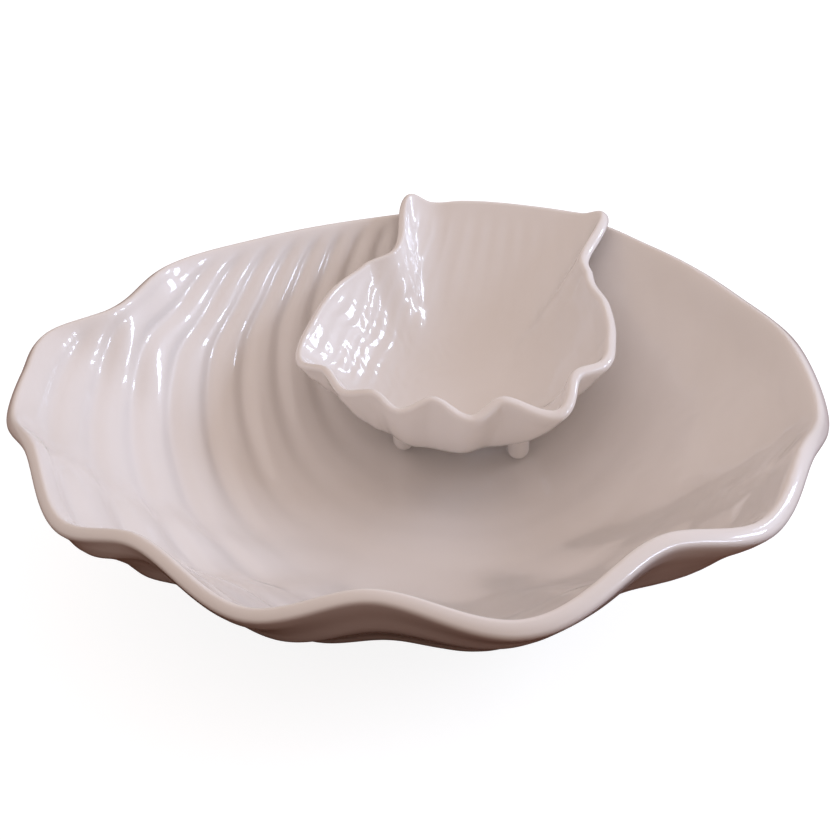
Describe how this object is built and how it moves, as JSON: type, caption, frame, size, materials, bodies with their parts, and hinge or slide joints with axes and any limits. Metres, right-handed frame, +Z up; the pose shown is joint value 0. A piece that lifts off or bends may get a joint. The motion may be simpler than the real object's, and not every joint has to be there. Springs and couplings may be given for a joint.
{
  "type": "chip and dip server",
  "caption": "Wide fluted clam-shaped serving bowl in glossy off-white glaze, with a scallop-shell dip bowl that stands in it and lifts out.",
  "frame": {"origin": "centre of the serving bowl's foot ring, on the surface it stands on, which is within 3 mm of the middle of the bounding box", "axes": "+Z up, +X across the bowl's long way, +Y towards the back, where the dip bowl's hinge edge lies over the rim"},
  "size_m": [0.3829, 0.3784, 0.1099],
  "materials": {
    "serving_glaze": "glossy off-white glaze over earthenware",
    "foot_ring_glaze": "glazed sides, standing face wiped bare",
    "dip_glaze": "glossy off-white glaze over earthenware",
    "dip_foot_glaze": "glossy off-white glaze over earthenware"
  },
  "bodies": {
    "serving_bowl": {"serving_bowl": "serving_glaze", "serving_bowl_foot_ring": "foot_ring_glaze"},
    "dip_bowl": {"dip_bowl": "dip_glaze", "dip_bowl_left_foot": "dip_foot_glaze", "dip_bowl_right_foot": "dip_foot_glaze"}
  },
  "joints": [
    {"name": "dip_lift", "type": "slide", "parent": "serving_bowl", "child": "dip_bowl", "axis": [0, 0, 1], "range_m": [0, 0.12]}
  ]
}
